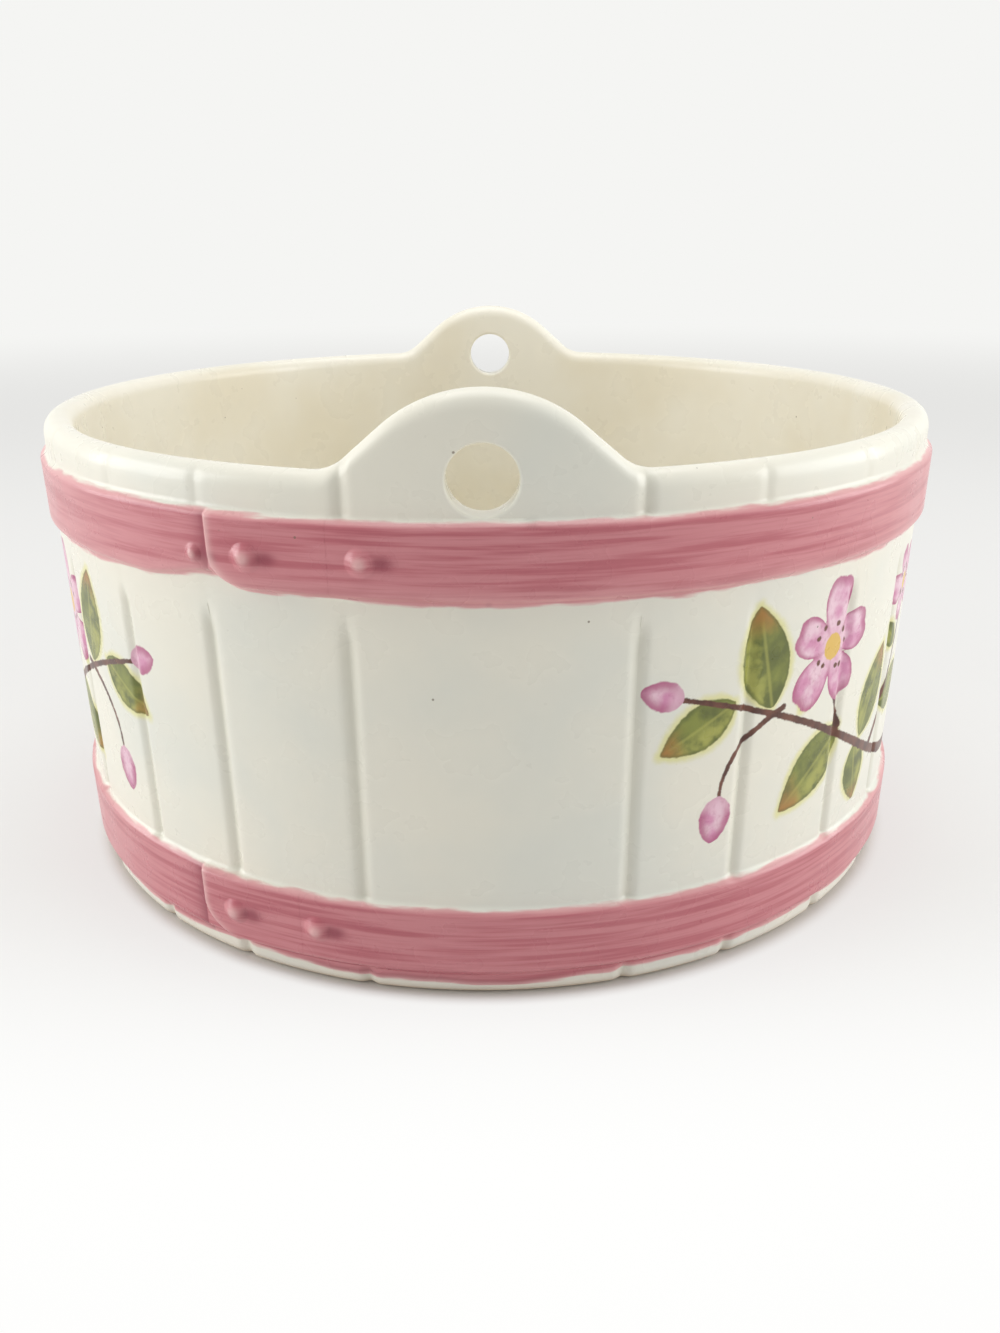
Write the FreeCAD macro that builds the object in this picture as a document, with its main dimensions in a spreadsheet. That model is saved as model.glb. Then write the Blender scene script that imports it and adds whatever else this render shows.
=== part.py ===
import FreeCAD, Part
import math
import os

import Sketcher

# A round earthenware hanging pot, moulded like a coopered tub: upright staves,
# two hoops with lapped and riveted ends, and two opposite ears with a hanging
# hole. Its origin is the middle of the base, +Z is up and the front ear is at -Y.

# Driving sizes, in millimetres
SIZES = (
    ("rim_radius", 98.0),
    ("base_radius", 95.5),
    ("rim_height", 98.0),
    ("wall", 6.0),
    ("rim_round", 2.4),
    ("base_round", 2.2),
    ("groove_width", 1.6),
    ("groove_depth", 0.7),
    ("foot_height", 2.0),
    ("foot_width", 7.0),
    ("floor_thickness", 6.0),
    ("ear_rise", 13.5),
    ("ear_crown_radius", 26.0),
    ("ear_foot_radius", 9.0),
    ("hole_radius", 6.2),
    ("hole_round", 0.6),
    ("hole_hoop_gap", 0.3),
    ("hoop_relief", 1.4),
    ("hoop_round", 0.9),
    ("upper_hoop_drop", 6.8),
    ("upper_hoop_width", 14.1),
    ("lower_hoop_rise", 4.8),
    ("lower_hoop_width", 14.5),
    ("lap_relief", 0.9),
    ("lap_corner", 3.5),
    ("lap_length", 21.0),
    ("rivet_radius", 1.9),
    ("rivet_rise", 1.2),
    ("overrun", 5.0),
)

# The wall is divided all round in equal pitches, and an ear stave takes two
STAVES_PER_SIDE = 10
PITCH_DEGREES = 360.0 / (2 * STAVES_PER_SIDE + 4)
# Those beside the four staves that the others copy, the front ear's middle being 0
CUT_GROOVES = (-2, -1, 1, 2, 3)
EAR_FLANK_DEGREES = 40.0

# Two points or levels nearer than this are the same
TOUCH = 0.001
# A hole's mouths in the curved wall reach as high and low as the hole, but for this
MOUTH_SLACK = 0.05

# Azimuths are in degrees from the front ear, positive to the right
UPPER_LAP_DEGREES = -28.0
LOWER_LAP_DEGREES = -34.5
# Round the wall from a lap's raised end to where it would run out to nothing
RUN_OUT_DEGREES = 18.0
UPPER_HOOP_RIVET_DEGREES = (-30.2, -11.8)
UPPER_LAP_RIVET_DEGREES = (-23.5,)
LOWER_HOOP_RIVET_DEGREES = (-18.5,)
LOWER_LAP_RIVET_DEGREES = (-29.6,)
UPPER_RIVET_LEVEL_SHARE = 0.48
LOWER_RIVET_LEVEL_SHARE = 0.5


class Size:
    """A length, or a ratio of two, held as a number and as its sheet expression."""

    def __init__(self, number, text):
        self.number = number
        self.text = text

    def __add__(self, other):
        return Size(self.number + other.number, f"({self.text} + {other.text})")

    def __sub__(self, other):
        return Size(self.number - other.number, f"({self.text} - {other.text})")

    def __mul__(self, other):
        if not isinstance(other, Size):
            other = Size(other, repr(other))
        return Size(self.number * other.number, f"({self.text} * {other.text})")

    def __truediv__(self, other):
        return Size(self.number / other.number, f"({self.text} / {other.text})")


doc = FreeCAD.newDocument("hanging_tub")
sheet = doc.addObject("Spreadsheet::Sheet", "Sizes")
size = {}
for row, (name, number) in enumerate(SIZES, start=1):
    cell = f"B{row}"
    sheet.set(f"A{row}", name)
    sheet.set(cell, str(number))
    sheet.setAlias(cell, name)
    size[name] = Size(number, f"Sizes.{name}")
doc.recompute()

zero = size["wall"] - size["wall"]
ear_top = size["rim_height"] + size["ear_rise"]
upper_hoop_top = size["rim_height"] - size["upper_hoop_drop"]
upper_hoop_base = upper_hoop_top - size["upper_hoop_width"]
lower_hoop_base = size["lower_hoop_rise"]
lower_hoop_top = lower_hoop_base + size["lower_hoop_width"]
hole_level = upper_hoop_top + size["hole_hoop_gap"] + size["hole_radius"]
floor_top = size["foot_height"] + size["floor_thickness"]
flare = size["rim_radius"] - size["base_radius"]


def outside(level):
    """Radius of the wall's outer face, which flares from base to rim."""
    return size["base_radius"] + flare * level / size["rim_height"]


def inside(level):
    return outside(level) - size["wall"]


def bind(item, prop, value):
    item.setExpression(prop, value.text)


def origin_plane(body, role):
    return next(plane for plane in body.Origin.OriginFeatures if plane.Role == role)


def facing(azimuth):
    """The turn about Z that makes a local +X look out of the wall there."""
    return FreeCAD.Rotation(FreeCAD.Vector(0, 0, 1), azimuth - 90.0)


def sketch_on(body, role, name):
    sketch = body.newObject("Sketcher::SketchObject", f"{body.Name}_{name}")
    sketch.AttachmentSupport = [(origin_plane(body, role), "")]
    sketch.MapMode = "FlatFace"
    return sketch


def add_outline(sketch, corners):
    """A closed outline of straight edges, each corner held at bound distances."""
    points = [FreeCAD.Vector(across.number, up.number, 0) for across, up in corners]
    count = len(points)
    for index in range(count):
        line = Part.LineSegment(points[index], points[(index + 1) % count])
        sketch.addGeometry(line, False)
    for index in range(count):
        joined = Sketcher.Constraint("Coincident", index, 2, (index + 1) % count, 1)
        sketch.addConstraint(joined)
    for index, (across, up) in enumerate(corners):
        fix_point(sketch, index, 1, across, up)


def fix_point(sketch, edge, end, across, up):
    """Holds one end of an edge at bound distances from the sketch's origin."""
    for kind, value in (("DistanceX", across), ("DistanceY", up)):
        if value.number == 0:
            axis = -2 if kind == "DistanceX" else -1
            sketch.addConstraint(Sketcher.Constraint("PointOnObject", edge, end, axis))
            continue
        number = sketch.addConstraint(
            Sketcher.Constraint(kind, -1, 1, edge, end, value.number)
        )
        bind(sketch, f"Constraints[{number}]", value)


def turned_body(label, corners):
    """A body turned full circle about Z from its section on the right."""
    body = doc.addObject("PartDesign::Body", label)
    body.Label = label
    body.Placement = FreeCAD.Placement()
    sketch = sketch_on(body, "XZ_Plane", "section")
    add_outline(sketch, corners)
    turned = body.newObject("PartDesign::Revolution", f"{body.Name}_turned")
    turned.Profile = sketch
    turned.ReferenceAxis = (sketch, ["V_Axis"])
    turned.Angle = 360.0
    doc.recompute()
    return body


def edges_of(feature, wanted):
    return [
        f"Edge{number}"
        for number, edge in enumerate(feature.Shape.Edges, start=1)
        if wanted(edge)
    ]


def rounded(body, wanted, radius, name):
    base = body.Tip
    fillet = body.newObject("PartDesign::Fillet", f"{body.Name}_{name}")
    fillet.Base = (base, edges_of(base, wanted))
    fillet.Radius = radius.number
    bind(fillet, "Radius", radius)
    doc.recompute()


def ear_outline(sketch):
    """The face to cut away above the rim: all but the bell of the ear.

    A crown arc runs by straight flanks into two foot arcs, which end level
    with the rim.
    """
    crown = size["ear_crown_radius"]
    foot = size["ear_foot_radius"]
    slope = math.radians(EAR_FLANK_DEGREES)
    crown_centre = ear_top - crown
    crown_end = FreeCAD.Vector(
        crown.number * math.sin(slope),
        crown_centre.number + crown.number * math.cos(slope),
        0,
    )
    foot_start_level = size["rim_height"].number + foot.number * (1 - math.cos(slope))
    flank_across = (crown_end.y - foot_start_level) / math.tan(slope)
    foot_start = FreeCAD.Vector(crown_end.x + flank_across, foot_start_level, 0)
    foot_centre = FreeCAD.Vector(
        foot_start.x + foot.number * math.sin(slope),
        size["rim_height"].number + foot.number,
        0,
    )
    half_width = outside(ear_top) + size["overrun"]
    roof = ear_top + size["overrun"]
    up = FreeCAD.Vector(0, 0, 1)

    def mirrored(point):
        return FreeCAD.Vector(-point.x, point.y, 0)

    def foot_arc(centre, start, end):
        circle = Part.Circle(centre, up, foot.number)
        return Part.ArcOfCircle(circle, start, end)

    quarter = math.pi / 2
    crown_circle = Part.Circle(FreeCAD.Vector(0, crown_centre.number, 0), up, crown.number)
    right_end = FreeCAD.Vector(foot_centre.x, size["rim_height"].number, 0)
    right_side = FreeCAD.Vector(half_width.number, size["rim_height"].number, 0)
    right_roof = FreeCAD.Vector(half_width.number, roof.number, 0)
    edges = (
        Part.ArcOfCircle(crown_circle, quarter - slope, quarter + slope),
        Part.LineSegment(crown_end, foot_start),
        foot_arc(foot_centre, 3 * quarter - slope, 3 * quarter),
        Part.LineSegment(right_end, right_side),
        Part.LineSegment(right_side, right_roof),
        Part.LineSegment(right_roof, mirrored(right_roof)),
        Part.LineSegment(mirrored(right_roof), mirrored(right_side)),
        Part.LineSegment(mirrored(right_side), mirrored(right_end)),
        foot_arc(mirrored(foot_centre), 3 * quarter, 3 * quarter + slope),
        Part.LineSegment(mirrored(foot_start), mirrored(crown_end)),
    )
    crown_arc, flank, foot_right, shelf, side, top, far_side, far_shelf, foot_left, far_flank = (
        sketch.addGeometry(edge, False) for edge in edges
    )
    smooth = (
        (crown_arc, 1, flank, 1),
        (flank, 2, foot_right, 1),
        (foot_right, 2, shelf, 1),
        (far_shelf, 2, foot_left, 1),
        (foot_left, 2, far_flank, 1),
        (far_flank, 2, crown_arc, 2),
    )
    for joint in smooth:
        sketch.addConstraint(Sketcher.Constraint("Tangent", *joint))
    sharp = (
        (shelf, 2, side, 1),
        (side, 2, top, 1),
        (top, 2, far_side, 1),
        (far_side, 2, far_shelf, 1),
    )
    for joint in sharp:
        sketch.addConstraint(Sketcher.Constraint("Coincident", *joint))
    for level in (shelf, far_shelf, top):
        sketch.addConstraint(Sketcher.Constraint("Horizontal", level))
    sketch.addConstraint(Sketcher.Constraint("Vertical", far_side))
    sketch.addConstraint(Sketcher.Constraint("Equal", foot_right, foot_left))
    fix_point(sketch, crown_arc, 3, zero, crown_centre)
    for arc, radius in ((crown_arc, crown), (foot_right, foot)):
        number = sketch.addConstraint(Sketcher.Constraint("Radius", arc, radius.number))
        bind(sketch, f"Constraints[{number}]", radius)
    fix_point(sketch, shelf, 2, half_width, size["rim_height"])
    fix_point(sketch, side, 2, half_width, roof)
    fix_point(sketch, far_shelf, 1, half_width * -1, size["rim_height"])
    for line, angle in ((flank, -slope), (far_flank, slope)):
        sketch.addConstraint(Sketcher.Constraint("Angle", line, angle))


def cut_across(body, sketch, name, width=None):
    """A pocket to both sides of its sketch, through all or to a bound width.

    It is tested by volume.
    """
    before = body.Shape.Volume
    pocket = body.newObject("PartDesign::Pocket", f"{body.Name}_{name}")
    pocket.Profile = sketch
    pocket.SideType = "Symmetric"
    if width is None:
        pocket.Type = "ThroughAll"
    else:
        bind(pocket, "Length", width)
    doc.recompute()
    if pocket.Shape.Volume >= before:
        raise RuntimeError(f"{pocket.Name} removes nothing")


def cut_groove(body, number):
    """One upright groove between two staves, numbered from the front ear's
    middle to the right, so negative to the left."""
    sketch = sketch_on(body, "XZ_Plane", f"groove_{number}")
    turn = FreeCAD.Rotation(FreeCAD.Vector(0, 1, 0), number * PITCH_DEGREES - 90.0)
    sketch.AttachmentOffset = FreeCAD.Placement(FreeCAD.Vector(0, 0, 0), turn)
    beyond = size["overrun"]
    corners = (
        (outside(zero) - size["groove_depth"], zero),
        (outside(zero) + beyond, zero),
        (outside(ear_top) + beyond, ear_top),
        (outside(ear_top) - size["groove_depth"], ear_top),
    )
    add_outline(sketch, corners)
    cut_across(body, sketch, f"groove_cut_{number}", size["groove_width"])


def whole_wall():
    """The wall all round, with both ears and their holes.

    It has the grooves that bound the staves from left_stave_01 to
    right_stave_02, which the other staves are turned copies of.
    """
    corners = (
        (inside(zero), zero),
        (outside(zero), zero),
        (outside(ear_top), ear_top),
        (inside(ear_top), ear_top),
    )
    body = turned_body("wall", corners)
    ears = sketch_on(body, "XZ_Plane", "ears")
    ear_outline(ears)
    cut_across(body, ears, "ear_cut")

    def is_crest(edge):
        along = edge.Curve.TypeId != "Part::GeomLine"
        return along and edge.BoundBox.ZMin > size["rim_height"].number - TOUCH

    rounded(body, is_crest, size["rim_round"], "rim")

    def is_outer_base(edge):
        box = edge.BoundBox
        return box.ZMax < TOUCH and box.XLength / 2 > size["base_radius"].number - TOUCH

    rounded(body, is_outer_base, size["base_round"], "base")

    holes = sketch_on(body, "XZ_Plane", "holes")
    centre = FreeCAD.Vector(0, hole_level.number, 0)
    circle = Part.Circle(centre, FreeCAD.Vector(0, 0, 1), size["hole_radius"].number)
    ring = holes.addGeometry(circle, False)
    fix_point(holes, ring, 3, zero, hole_level)
    radius = Sketcher.Constraint("Radius", ring, size["hole_radius"].number)
    number = holes.addConstraint(radius)
    bind(holes, f"Constraints[{number}]", size["hole_radius"])
    cut_across(body, holes, "hole_cut")

    def is_mouth(edge):
        box = edge.BoundBox
        high = hole_level.number + size["hole_radius"].number
        low = hole_level.number - size["hole_radius"].number
        return abs(box.ZMax - high) < MOUTH_SLACK and abs(box.ZMin - low) < MOUTH_SLACK

    rounded(body, is_mouth, size["hole_round"], "mouths")
    for number in CUT_GROOVES:
        cut_groove(body, number)
    return body


def stave(wall, label, first, last):
    """The sector of the wall between two of its numbered grooves."""
    sector = doc.addObject("Part::Cylinder", f"{label}_sector")
    sector.Angle = (last - first) * PITCH_DEGREES
    start = facing(first * PITCH_DEGREES)
    sector.Placement = FreeCAD.Placement(FreeCAD.Vector(0, 0, 0), start)
    bind(sector, "Radius", outside(zero) + outside(ear_top))
    bind(sector, "Height", ear_top + size["overrun"])
    piece = doc.addObject("Part::Common", label)
    piece.Base = wall
    piece.Tool = sector
    doc.recompute()
    return piece


def turned_copy(source, label, pitches):
    """The same stave again, a number of pitches further round to the right."""
    body = doc.addObject("PartDesign::Body", label)
    body.BaseFeature = source
    turn = FreeCAD.Rotation(FreeCAD.Vector(0, 0, 1), pitches * PITCH_DEGREES)
    body.Placement = FreeCAD.Placement(FreeCAD.Vector(0, 0, 0), turn)
    return body


def hoop_face(level):
    """Radius of a hoop's outer face, which keeps the wall's flare."""
    return outside(level) + size["hoop_relief"]


def hoop(label, base, top):
    """A band round the wall, with soft outer edges."""
    corners = (
        (outside(base), base),
        (hoop_face(base), base),
        (hoop_face(top), top),
        (outside(top), top),
    )
    body = turned_body(label, corners)
    between_faces = size["hoop_relief"].number / 2

    def is_outer(edge):
        radius = edge.BoundBox.XLength / 2
        flat = edge.BoundBox.ZLength < TOUCH
        level = base if abs(edge.BoundBox.ZMin - base.number) < TOUCH else top
        return flat and radius > outside(level).number + between_faces

    rounded(body, is_outer, size["hoop_round"], "edges")
    return body


def band_cone(label, base, top):
    """A solid cone as wide as the outer face of the hoop between two levels."""
    cone = doc.addObject("Part::Cone", label)
    bind(cone, "Radius1", hoop_face(base))
    bind(cone, "Radius2", hoop_face(top))
    bind(cone, "Height", top - base)
    bind(cone, "Placement.Base.z", base)
    return cone


def outward(azimuth):
    """The level unit vector that points out of the wall at this azimuth."""
    turn = math.radians(azimuth)
    return FreeCAD.Vector(math.sin(turn), -math.cos(turn), 0)


def lap_lift(end_azimuth, azimuth):
    """How far a lap stands off its hoop: most at its end, then less and less.

    The lap's outer face is the hoop's own, moved sideways by lap_shift towards
    a quarter turn behind the azimuth where the lap runs out.
    """
    behind_run_out = math.radians(end_azimuth + RUN_OUT_DEGREES - azimuth)
    return lap_shift * math.sin(behind_run_out)


def lapped_end(label, base, top, end_azimuth):
    """The upper strap's end where a hoop laps over itself, and its outer cone."""
    hoop_cone = band_cone(f"{label}_seat", base, top)
    lifted = band_cone(f"{label}_lifted", base, top)
    sideways = outward(end_azimuth + RUN_OUT_DEGREES - 90.0)
    bind(lifted, "Placement.Base.x", lap_shift * sideways.x)
    bind(lifted, "Placement.Base.y", lap_shift * sideways.y)
    shell = doc.addObject("Part::Cut", f"{label}_shell")
    shell.Base = lifted
    shell.Tool = hoop_cone

    outline = doc.addObject("Sketcher::SketchObject", f"{label}_outline")
    upright = FreeCAD.Rotation(FreeCAD.Vector(1, 0, 0), 90.0)
    turn = FreeCAD.Rotation(FreeCAD.Vector(0, 0, 1), end_azimuth)
    outline.Placement = FreeCAD.Placement(FreeCAD.Vector(0, 0, 0), turn * upright)
    low = base + size["hoop_round"]
    high = top - size["hoop_round"]
    corner = size["lap_corner"]
    rounded_end(outline, low, high, corner, size["lap_length"])
    reach = doc.addObject("Part::Extrusion", f"{label}_reach")
    reach.Base = outline
    reach.DirMode = "Normal"
    reach.Solid = True
    bind(reach, "LengthFwd", hoop_face(base) + size["lap_relief"] + size["overrun"])

    lap = doc.addObject("Part::Common", label)
    lap.Base = shell
    lap.Tool = reach
    doc.recompute()
    return lap, hoop_cone, lifted


def rounded_end(sketch, low, high, corner, length):
    """A strap's outline from its square tail back to its end at zero, with two
    round corners there."""
    up = FreeCAD.Vector(0, 0, 1)
    low_centre = FreeCAD.Vector(corner.number, low.number + corner.number, 0)
    high_centre = FreeCAD.Vector(corner.number, high.number - corner.number, 0)
    low_start = FreeCAD.Vector(corner.number, low.number, 0)
    low_tail = FreeCAD.Vector(length.number, low.number, 0)
    high_tail = FreeCAD.Vector(length.number, high.number, 0)
    high_start = FreeCAD.Vector(corner.number, high.number, 0)
    end_low = FreeCAD.Vector(0, low_centre.y, 0)
    end_high = FreeCAD.Vector(0, high_centre.y, 0)
    high_circle = Part.Circle(high_centre, up, corner.number)
    low_circle = Part.Circle(low_centre, up, corner.number)
    edges = (
        Part.LineSegment(low_start, low_tail),
        Part.LineSegment(low_tail, high_tail),
        Part.LineSegment(high_tail, high_start),
        Part.ArcOfCircle(high_circle, math.pi / 2, math.pi),
        Part.LineSegment(end_high, end_low),
        Part.ArcOfCircle(low_circle, math.pi, 3 * math.pi / 2),
    )
    bottom, tail, roof, high_arc, end, low_arc = (
        sketch.addGeometry(edge, False) for edge in edges
    )
    for joint in ((bottom, 2, tail, 1), (tail, 2, roof, 1)):
        sketch.addConstraint(Sketcher.Constraint("Coincident", *joint))
    smooth = (
        (roof, 2, high_arc, 1),
        (high_arc, 2, end, 1),
        (end, 2, low_arc, 1),
        (low_arc, 2, bottom, 1),
    )
    for joint in smooth:
        sketch.addConstraint(Sketcher.Constraint("Tangent", *joint))
    for level in (bottom, roof):
        sketch.addConstraint(Sketcher.Constraint("Horizontal", level))
    sketch.addConstraint(Sketcher.Constraint("Equal", high_arc, low_arc))
    sketch.addConstraint(Sketcher.Constraint("PointOnObject", end, 1, -2))
    sketch.addConstraint(Sketcher.Constraint("Vertical", end))
    radius = sketch.addConstraint(Sketcher.Constraint("Radius", low_arc, corner.number))
    bind(sketch, f"Constraints[{radius}]", corner)
    fix_point(sketch, tail, 1, length, low)
    fix_point(sketch, tail, 2, length, high)


def rivet_head(label, azimuth, level, seat, lift):
    """A dome on a seat that stands this far off the hoop's outer face there."""
    ball_radius = size["rivet_radius"] * size["rivet_radius"] / size["rivet_rise"] * 0.5
    ball_radius = ball_radius + size["rivet_rise"] * 0.5
    ball = doc.addObject("Part::Sphere", f"{label}_ball")
    ball.Placement = FreeCAD.Placement(FreeCAD.Vector(0, 0, 0), facing(azimuth))
    bind(ball, "Radius", ball_radius)
    centre = hoop_face(level) + lift + size["rivet_rise"] - ball_radius
    out = outward(azimuth)
    bind(ball, "Placement.Base.x", centre * out.x)
    bind(ball, "Placement.Base.y", centre * out.y)
    bind(ball, "Placement.Base.z", level)
    head = doc.addObject("Part::Cut", label)
    head.Base = ball
    head.Tool = seat
    return head


def lapped_hoop(name, base, top, end_azimuth, level_share, hoop_rivets, lap_rivets):
    """A hoop with its lapped end and rivet heads: three nodes."""
    level = base + (top - base) * level_share
    lap, hoop_cone, lifted = lapped_end(f"{name}_lap", base, top, end_azimuth)
    heads = []
    for azimuth in hoop_rivets:
        label = f"{name}_rivet_{len(heads) + 1}"
        heads.append(rivet_head(label, azimuth, level, hoop_cone, zero))
    for azimuth in lap_rivets:
        label = f"{name}_rivet_{len(heads) + 1}"
        lift = lap_lift(end_azimuth, azimuth)
        heads.append(rivet_head(label, azimuth, level, lifted, lift))
    group = doc.addObject("Part::Compound", f"{name}_rivets")
    group.Links = heads
    doc.recompute()
    return [hoop(name, base, top), lap, group]


def staves():
    """All the staves of the wall, each side numbered from the front ear."""
    wall = whole_wall()
    half_turn = STAVES_PER_SIDE + 2
    ear = stave(wall, "front_ear_stave", -1, 1)
    right_of_ear = stave(wall, "right_stave_01", 1, 2)
    left_of_ear = stave(wall, "left_stave_01", -2, -1)
    plain = stave(wall, "right_stave_02", 2, 3)
    made = [ear, right_of_ear, left_of_ear, plain]
    made.append(turned_copy(ear, "back_ear_stave", half_turn))
    made.append(turned_copy(right_of_ear, f"left_stave_{STAVES_PER_SIDE:02d}", half_turn))
    made.append(turned_copy(left_of_ear, f"right_stave_{STAVES_PER_SIDE:02d}", half_turn))
    for number in range(2, STAVES_PER_SIDE):
        if number > 2:
            made.append(turned_copy(plain, f"right_stave_{number:02d}", number - 2))
        made.append(turned_copy(plain, f"left_stave_{number:02d}", -number - 3))
    return made


def bottom():
    """The round floor inside the wall, and the ring that it stands on."""
    foot = size["foot_height"]
    floor = turned_body(
        "tub_floor",
        ((zero, foot), (inside(foot), foot), (inside(floor_top), floor_top), (zero, floor_top)),
    )
    ring = turned_body(
        "foot_ring",
        (
            (inside(zero) - size["foot_width"], zero),
            (inside(zero), zero),
            (inside(foot), foot),
            (inside(foot) - size["foot_width"], foot),
        ),
    )
    return [floor, ring]


def check(nodes):
    """Stops unless every object is up to date and every node is a sound solid."""
    for item in doc.Objects:
        if "Invalid" in item.State or "Error" in item.State:
            raise RuntimeError(f"{item.Name} failed")
    for node in nodes:
        if node.Shape.isNull() or not node.Shape.isValid() or not node.Shape.Solids:
            raise RuntimeError(f"{node.Label} isn't a sound solid")


lap_shift = size["lap_relief"] * (1 / math.sin(math.radians(RUN_OUT_DEGREES)))
nodes = bottom() + staves()
nodes += lapped_hoop(
    "upper_hoop",
    upper_hoop_base,
    upper_hoop_top,
    UPPER_LAP_DEGREES,
    UPPER_RIVET_LEVEL_SHARE,
    UPPER_HOOP_RIVET_DEGREES,
    UPPER_LAP_RIVET_DEGREES,
)
nodes += lapped_hoop(
    "lower_hoop",
    lower_hoop_base,
    lower_hoop_top,
    LOWER_LAP_DEGREES,
    LOWER_RIVET_LEVEL_SHARE,
    LOWER_HOOP_RIVET_DEGREES,
    LOWER_LAP_RIVET_DEGREES,
)
doc.recompute()
check(nodes)
os.makedirs("parts", exist_ok=True)
for node in nodes:
    solids = node.Shape.Solids
    print(node.Label, len(solids), "solids", round(node.Shape.Volume, 1), "mm3")
    node.Shape.exportStep(f"parts/{node.Label}.step")
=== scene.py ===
import math
from dataclasses import dataclass

import bpy
import numpy as np
from mathutils import Matrix, Vector


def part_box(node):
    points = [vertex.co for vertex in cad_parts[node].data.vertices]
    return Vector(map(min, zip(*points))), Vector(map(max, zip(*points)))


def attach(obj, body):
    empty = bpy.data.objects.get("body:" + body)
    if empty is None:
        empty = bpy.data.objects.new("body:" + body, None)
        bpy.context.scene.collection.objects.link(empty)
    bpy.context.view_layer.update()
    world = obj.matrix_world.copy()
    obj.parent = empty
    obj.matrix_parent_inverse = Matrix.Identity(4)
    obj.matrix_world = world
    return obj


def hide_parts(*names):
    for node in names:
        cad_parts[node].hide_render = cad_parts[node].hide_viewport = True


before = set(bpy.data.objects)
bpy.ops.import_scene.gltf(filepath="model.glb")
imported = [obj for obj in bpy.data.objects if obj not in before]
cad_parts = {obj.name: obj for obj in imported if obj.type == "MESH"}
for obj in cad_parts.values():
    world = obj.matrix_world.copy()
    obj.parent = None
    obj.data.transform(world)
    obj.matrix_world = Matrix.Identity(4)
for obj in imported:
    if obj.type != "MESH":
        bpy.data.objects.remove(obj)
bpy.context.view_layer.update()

# A glazed earthenware hanging pot, moulded like a coopered tub with staves, two
# painted hoops and two ears. Lengths are in millimetres, and levels are heights over
# the base. An azimuth is an angle round the pot, from the front ear to the right.
MM = 0.001
QUARTER = math.pi / 2


def levels_of(node):
    """Lowest and highest level of a CAD node."""
    low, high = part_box(node)
    return low.z / MM, high.z / MM


# Levels that the frame gives
RIM_LEVEL = levels_of("right_stave_05")[1]
EAR_TOP = levels_of("front_ear_stave")[1]
FLOOR_UNDER, FLOOR_TOP = levels_of("tub_floor")
FOOT_TOP = levels_of("foot_ring")[1]
UPPER_LOW, UPPER_HIGH = levels_of("upper_hoop")
LOWER_LOW, LOWER_HIGH = levels_of("lower_hoop")

# The wall
BASE_RADIUS = 95.5
RIM_RADIUS = 98.0
WALL = 6.0
RIM_ROUND = 3.3
RIM_POWER = 0.95
BASE_ROUND = 2.2
GROOVE_DEPTH = 0.75
GROOVE_HALF_WIDTH = 1.75
GROOVE_POWER = 1.6
GROOVE_BOTTOM = 0.45
GROOVE_FADE = 8.5
GROOVE_FADED_SHARE = 0.95
GROOVE_STUB = 1.6
RIM_FADE = 0.75
EAR_SEAM_FADE = 0.2
COVE = 8.0
HUG_POWER = 12
FOOT_WIDTH = 7.0
FOOT_ROUND = 0.5
CLEARANCE = 0.02

# An ear's bell: a crown arc, straight flanks and two foot arcs
CROWN = 26.0
EAR_FOOT = 9.0
FLANK = math.radians(40.0)
HOLE_RADIUS = 5.9
HOLE_LEVEL = 97.4
HOLE_FIELD = 9.6
MOUTH = 0.6

# Staves to the pitch of the mould, whose grooves aren't quite evenly spaced
STAVES_PER_SIDE = 10
HALF_TURN = STAVES_PER_SIDE + 2
PITCH = math.pi / HALF_TURN
SEAM_NUDGES = {-3: 1.4, -2: 0.3, -1: 1.4, 1: 0.65, 2: -0.9}
SEAM_DRIFT_DEGREES = 0.5

# Hoops, with lapped ends and rivet heads
HOOP_RELIEF = 1.4
HOOP_SOFTNESS = 1.6
HOOP_OUTSIDE = 0.3
HOOP_MARGIN = 2.6
HOOP_MARGIN_AT_HOLE = 0.22
LAP_RELIEF = 0.9
LAP_SOFTNESS = 0.9
LAP_LENGTH = 21.0
PINCH_LENGTH = 17.0
RIVET_RISE = 1.15
RIVET_REACH = 2.7
RIVET_POWER = 1.3
LAYER = 0.02
SINK = 0.45

# Slow unevenness: waves in a turn, climb a millimetre, phase and share
WAVES = ((2, 0.010, 0.6, 0.45), (5, 0.032, 0.0, 0.3), (9, -0.043, 1.9, 0.15), (23, 0.070, 4.0, 0.1))
SLUMP = 0.3
INSIDE_SHIFT = 1.0
EDGE_WAVE = 0.35

# The hoops' paint: how its edges wave, where it runs thin, and where it lies dark, with
# its painted sheen at the sides, painted highlights on the rivet tops and painted
# shadows beside the rivets
LOW_PAINT_WAVE = 0.6
LOW_WAVE_TURNS = 3
HIGH_PAINT_WAVE = 0.2
HIGH_WAVE_TURNS = 2
HIGH_GAP = 0.15
EDGE_THIN = 1.3
WASH_HEIGHT = 5.0
# Painted sheen on the hoops round the sides of the pot: where it starts, how fast it comes in, and
# where it ends
SHEEN_START = math.radians(35.0)
SHEEN_TURN = math.radians(35.0)
SHEEN_END = math.radians(140.0)
# Paler rivet tops: thin paint and a painted highlight
RIVET_THIN_AND_HIGHLIGHT = 1.2
RIVET_TOP = 1.9
LAP_LINE = 0.85
LAP_LINE_LENGTH = 10.5
POOL_LENGTH = 2.5
POOL_REACH = 7.5
POOL_AND_SHADOW_TONE = 0.85
# A painted shadow beside each rivet: its offset to the right, its width and its height
RIVET_SHADOW_ASIDE = 3.6
RIVET_SHADOW_WIDTH = 2.2
RIVET_SHADOW_HEIGHT = 1.5
SMEAR_TONE = 0.5
SMEAR_LEVEL = 0.5
SMEAR_HEIGHT = 1.4

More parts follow.
